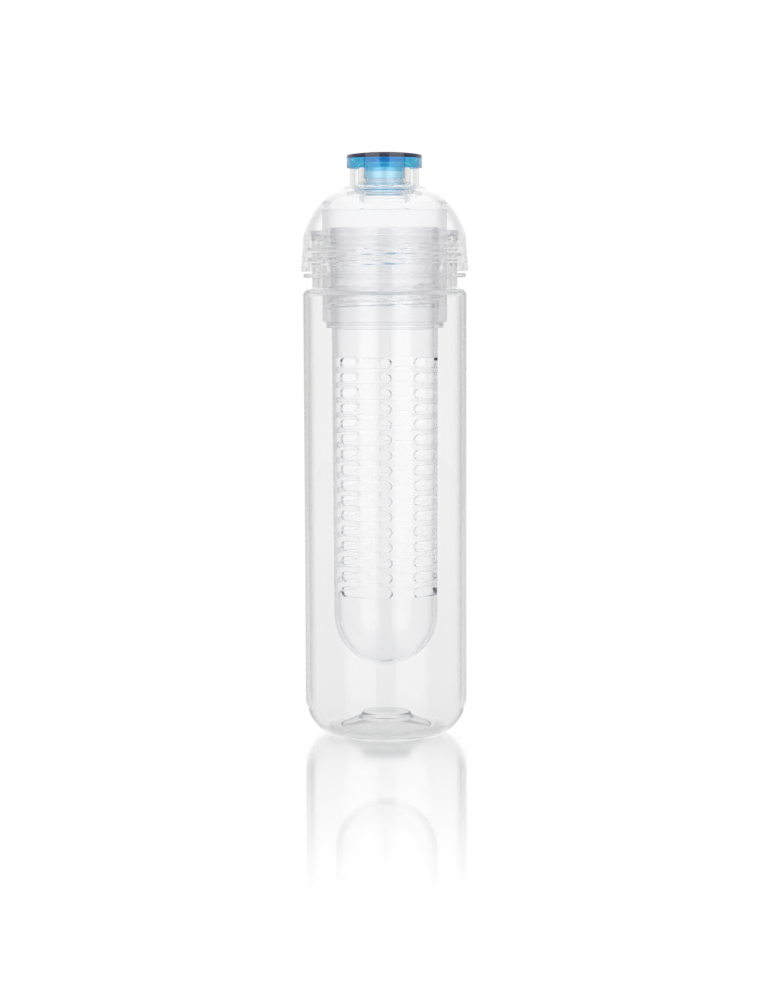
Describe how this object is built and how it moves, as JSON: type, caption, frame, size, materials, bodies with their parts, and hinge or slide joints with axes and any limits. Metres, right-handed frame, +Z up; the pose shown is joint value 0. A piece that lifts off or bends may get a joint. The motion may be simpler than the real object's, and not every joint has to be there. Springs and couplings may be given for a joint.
{
  "type": "fruit infuser water bottle",
  "caption": "Clear cylindrical water bottle with a screw-on domed lid, a slotted infuser tube hanging from the lid, and a blue push-in spout stopper.",
  "frame": {"origin": "on the bottle's axis, at the surface it stands on", "axes": "+Z up along the bottle's axis, -Y is the front that the picture shows"},
  "size_m": [0.0696, 0.0696, 0.232],
  "materials": {
    "clear_body": "clear, glossy",
    "clear_lid": "clear, glossy",
    "hazy_sleeve": "clear with a slight haze",
    "clear_basket": "clear, glossy",
    "silicone": "translucent, satin",
    "blue_cap": "tinted clear, glossy",
    "pale_blue_plug": "tinted clear, glossy"
  },
  "bodies": {
    "bottle": {"bottle_body": "clear_body"},
    "lid_ring": {"lid_gasket": "silicone"},
    "lid": {"lid_dome": "clear_lid", "mouthpiece": "clear_lid", "infuser_sleeve": "hazy_sleeve"},
    "infuser_ring": {"infuser_gasket": "silicone"},
    "infuser": {"infuser_basket": "clear_basket"},
    "stopper": {"stopper_cap": "blue_cap", "stopper_plug": "pale_blue_plug", "stopper_seal": "silicone"}
  },
  "joints": [
    {"name": "lid_lift", "type": "slide", "parent": "bottle", "child": "lid_ring", "axis": [0, 0, 1], "range_m": [0, 0.012]},
    {"name": "lid_turn", "type": "hinge", "parent": "lid_ring", "child": "lid", "pos_m": [0, 0, 0.1976], "axis": [0, 0, 1], "range_deg": [0, 1080.5]},
    {"name": "infuser_drop", "type": "slide", "parent": "lid", "child": "infuser_ring", "axis": [0, 0, -1], "range_m": [0, 0.01]},
    {"name": "infuser_turn", "type": "hinge", "parent": "infuser_ring", "child": "infuser", "pos_m": [0, 0, 0.1645], "axis": [0, 0, -1], "range_deg": [0, 900.5]},
    {"name": "stopper_pull", "type": "slide", "parent": "lid", "child": "stopper", "axis": [0, 0, 1], "range_m": [0, 0.025]}
  ],
  "couplings": [
    {"joint": "lid_turn", "follows": "lid_lift", "rad_per_m": 1570.8},
    {"joint": "infuser_turn", "follows": "infuser_drop", "rad_per_m": 1570.8}
  ]
}
